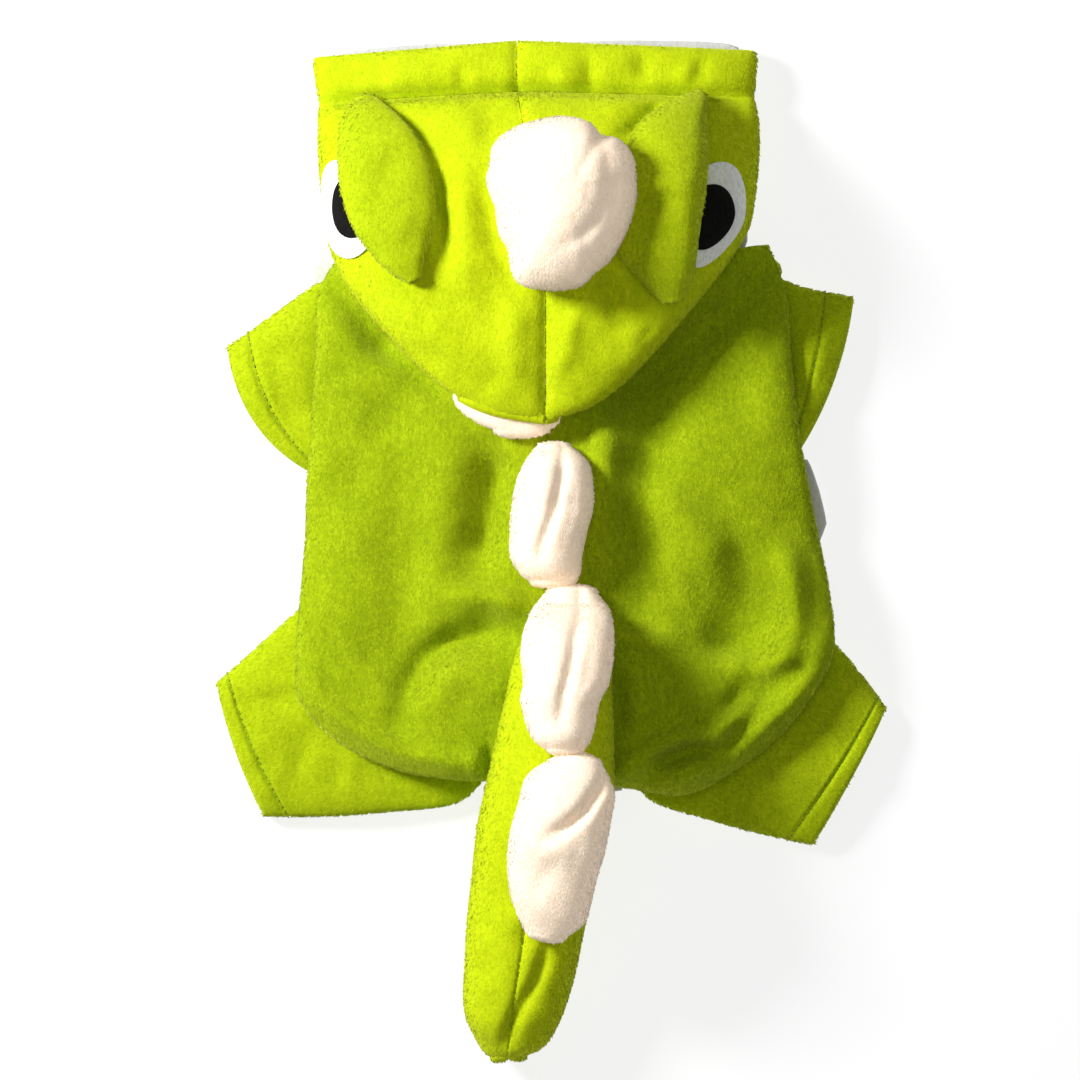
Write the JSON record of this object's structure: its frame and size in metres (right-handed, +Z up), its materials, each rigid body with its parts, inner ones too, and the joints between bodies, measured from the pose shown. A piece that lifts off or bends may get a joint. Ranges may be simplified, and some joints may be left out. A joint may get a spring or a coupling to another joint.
{
  "type": "dog pajamas, a hooded four-leg suit laid out back-up",
  "caption": "Hooded dog suit in short green plush, laid flat with its back up, with stuffed cream horn and back pads, green ear pads, felt eyes and a stuffed tail",
  "frame": {"origin": "the middle of the underside, on the surface that the suit lies on", "axes": "+X is the garment's right as it lies back-up, +Y runs from the tail to the face opening, +Z is up"},
  "size_m": [0.28, 0.428, 0.0949],
  "materials": {
    "green_plush": "short soft plush, lime green",
    "pale_plush": "short soft plush, off-white",
    "cream_plush": "short soft plush, cream",
    "white_felt": "smooth felt, white",
    "black_felt": "smooth felt, black"
  },
  "bodies": {
    "root": {"back_left": "green_plush", "back_right": "green_plush", "belly": "pale_plush", "throat": "pale_plush", "sleeve_left": "green_plush", "sleeve_right": "green_plush", "leg_left": "green_plush", "leg_right": "green_plush", "hood_left": "green_plush", "hood_right": "green_plush", "brim_left": "green_plush", "brim_right": "green_plush", "ear_left": "green_plush", "ear_right": "green_plush", "tail_left": "green_plush", "tail_right": "green_plush", "horn": "cream_plush", "spike_1": "cream_plush", "spike_2": "cream_plush", "spike_3": "cream_plush", "spike_4": "cream_plush", "eye_white_left": "white_felt", "eye_white_right": "white_felt", "pupil_left": "black_felt", "pupil_right": "black_felt"}
  },
  "joints": []
}
